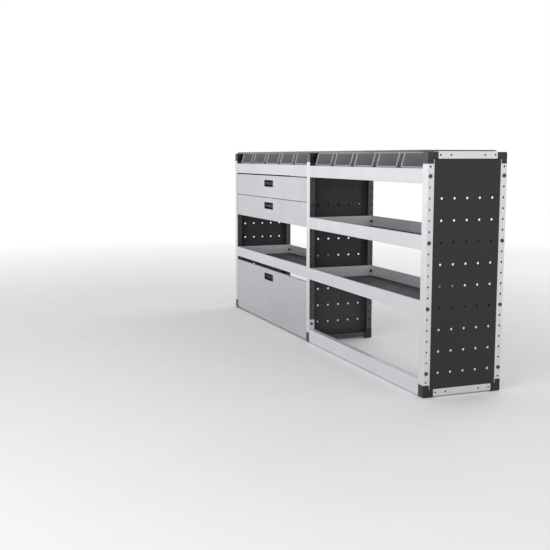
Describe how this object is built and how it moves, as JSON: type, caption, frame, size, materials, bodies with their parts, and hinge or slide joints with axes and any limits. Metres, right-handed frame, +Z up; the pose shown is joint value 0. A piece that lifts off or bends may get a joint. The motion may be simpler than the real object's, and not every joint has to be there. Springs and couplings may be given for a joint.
{
  "type": "van racking system",
  "caption": "Aluminium and black steel van racking with open shelves, drawers, a drop-down flap and lift-off bins",
  "frame": {"origin": "on the floor, under the middle of the racking's length and depth", "axes": "+X along the racking, towards the open shelves' end; the front faces -Y; +Z up"},
  "size_m": [2.461, 0.375, 1.0175],
  "materials": {
    "frame_aluminium": "satin anodised",
    "tray_metal": "satin anodised",
    "front_metal": "satin anodised",
    "black_panel": "semi-gloss powder coat",
    "cap_plastic": "fine texture",
    "bin_plastic": "satin",
    "handle_plastic": "satin",
    "mat_rubber": "matt",
    "black_zinc": "black zinc",
    "zinc_steel": "zinc plated"
  },
  "bodies": {
    "racking": {"post_left_front": "frame_aluminium", "post_left_rear": "frame_aluminium", "side_rails_left": "frame_aluminium", "side_panel_left": "black_panel", "inner_channels_left": "black_panel", "corner_caps_left": "cap_plastic", "post_middle_front": "frame_aluminium", "post_middle_rear": "frame_aluminium", "side_rails_middle": "frame_aluminium", "side_panel_middle": "black_panel", "inner_channels_middle": "black_panel", "corner_caps_middle": "cap_plastic", "post_right_front": "frame_aluminium", "post_right_rear": "frame_aluminium", "side_rails_right": "frame_aluminium", "side_panel_right": "black_panel", "inner_channels_right": "black_panel", "corner_caps_right": "cap_plastic", "top_tray_left": "tray_metal", "shelf_tray_left": "tray_metal", "shelf_mat_left": "mat_rubber", "top_tray_right": "tray_metal", "shelf_tray_right": "tray_metal", "shelf_mat_right": "mat_rubber", "upper_shelf_tray_right": "tray_metal", "upper_shelf_mat_right": "mat_rubber", "bottom_rail_right": "tray_metal", "slides_outer": "black_zinc", "latch_keepers": "zinc_steel", "flap_sill": "zinc_steel", "hinge_leaves_fixed": "zinc_steel", "hinge_pins": "zinc_steel", "frame_bolts": "black_zinc", "frame_nuts": "black_zinc"},
    "upper_drawer": {"drawer_front_upper": "front_metal", "drawer_box_upper": "black_panel", "handle_bezel_upper": "handle_plastic", "slides_inner_upper": "black_zinc"},
    "upper_drawer_slides": {"slides_middle_upper": "black_zinc"},
    "upper_drawer_latch": {"handle_paddle_upper": "handle_plastic"},
    "lower_drawer": {"drawer_front_lower": "front_metal", "drawer_box_lower": "black_panel", "handle_bezel_lower": "handle_plastic", "slides_inner_lower": "black_zinc"},
    "lower_drawer_slides": {"slides_middle_lower": "black_zinc"},
    "lower_drawer_latch": {"handle_paddle_lower": "handle_plastic"},
    "flap": {"flap_door": "front_metal", "handle_bezel_flap": "handle_plastic", "hinge_leaves_moving": "zinc_steel"},
    "flap_latch": {"handle_paddle_flap": "handle_plastic"},
    "bin_left_1": {"bin_left_1": "bin_plastic"},
    "bin_left_2": {"bin_left_2": "bin_plastic"},
    "bin_left_3": {"bin_left_3": "bin_plastic"},
    "bin_left_4": {"bin_left_4": "bin_plastic"},
    "bin_left_5": {"bin_left_5": "bin_plastic"},
    "bin_right_1": {"bin_right_1": "bin_plastic"},
    "bin_right_2": {"bin_right_2": "bin_plastic"},
    "bin_right_3": {"bin_right_3": "bin_plastic"},
    "bin_right_4": {"bin_right_4": "bin_plastic"},
    "bin_right_5": {"bin_right_5": "bin_plastic"}
  },
  "joints": [
    {"name": "upper_drawer_slide", "type": "slide", "parent": "racking", "child": "upper_drawer", "axis": [0, -1, 0], "range_m": [0, 0.32]},
    {"name": "upper_slide_middle", "type": "slide", "parent": "racking", "child": "upper_drawer_slides", "axis": [0, -1, 0], "range_m": [0, 0.16]},
    {"name": "lower_drawer_slide", "type": "slide", "parent": "racking", "child": "lower_drawer", "axis": [0, -1, 0], "range_m": [0, 0.32]},
    {"name": "lower_slide_middle", "type": "slide", "parent": "racking", "child": "lower_drawer_slides", "axis": [0, -1, 0], "range_m": [0, 0.16]},
    {"name": "flap_hinge", "type": "hinge", "parent": "racking", "child": "flap", "pos_m": [-0.6025, -0.18, 0.014], "axis": [1, 0, 0], "range_deg": [0, 90]},
    {"name": "upper_drawer_latch_pivot", "type": "hinge", "parent": "upper_drawer", "child": "upper_drawer_latch", "pos_m": [-0.6025, -0.18, 0.8395], "axis": [-1, 0, 0], "range_deg": [0, 20], "stiffness_Nm_per_rad": 0.08, "springref_deg": -22.92},
    {"name": "lower_drawer_latch_pivot", "type": "hinge", "parent": "lower_drawer", "child": "lower_drawer_latch", "pos_m": [-0.6025, -0.18, 0.708], "axis": [-1, 0, 0], "range_deg": [0, 20], "stiffness_Nm_per_rad": 0.08, "springref_deg": -22.92},
    {"name": "flap_latch_pivot", "type": "hinge", "parent": "flap", "child": "flap_latch", "pos_m": [-0.6025, -0.18, 0.283], "axis": [-1, 0, 0], "range_deg": [0, 20], "stiffness_Nm_per_rad": 0.08, "springref_deg": -22.92},
    {"name": "bin_left_1_lift", "type": "slide", "parent": "racking", "child": "bin_left_1", "axis": [0, 0, 1], "range_m": [0, 0.15]},
    {"name": "bin_left_2_lift", "type": "slide", "parent": "racking", "child": "bin_left_2", "axis": [0, 0, 1], "range_m": [0, 0.15]},
    {"name": "bin_left_3_lift", "type": "slide", "parent": "racking", "child": "bin_left_3", "axis": [0, 0, 1], "range_m": [0, 0.15]},
    {"name": "bin_left_4_lift", "type": "slide", "parent": "racking", "child": "bin_left_4", "axis": [0, 0, 1], "range_m": [0, 0.15]},
    {"name": "bin_left_5_lift", "type": "slide", "parent": "racking", "child": "bin_left_5", "axis": [0, 0, 1], "range_m": [0, 0.15]},
    {"name": "bin_right_1_lift", "type": "slide", "parent": "racking", "child": "bin_right_1", "axis": [0, 0, 1], "range_m": [0, 0.15]},
    {"name": "bin_right_2_lift", "type": "slide", "parent": "racking", "child": "bin_right_2", "axis": [0, 0, 1], "range_m": [0, 0.15]},
    {"name": "bin_right_3_lift", "type": "slide", "parent": "racking", "child": "bin_right_3", "axis": [0, 0, 1], "range_m": [0, 0.15]},
    {"name": "bin_right_4_lift", "type": "slide", "parent": "racking", "child": "bin_right_4", "axis": [0, 0, 1], "range_m": [0, 0.15]},
    {"name": "bin_right_5_lift", "type": "slide", "parent": "racking", "child": "bin_right_5", "axis": [0, 0, 1], "range_m": [0, 0.15]}
  ],
  "couplings": [
    {"joint": "upper_slide_middle", "follows": "upper_drawer_slide", "ratio": 0.5},
    {"joint": "lower_slide_middle", "follows": "lower_drawer_slide", "ratio": 0.5}
  ]
}
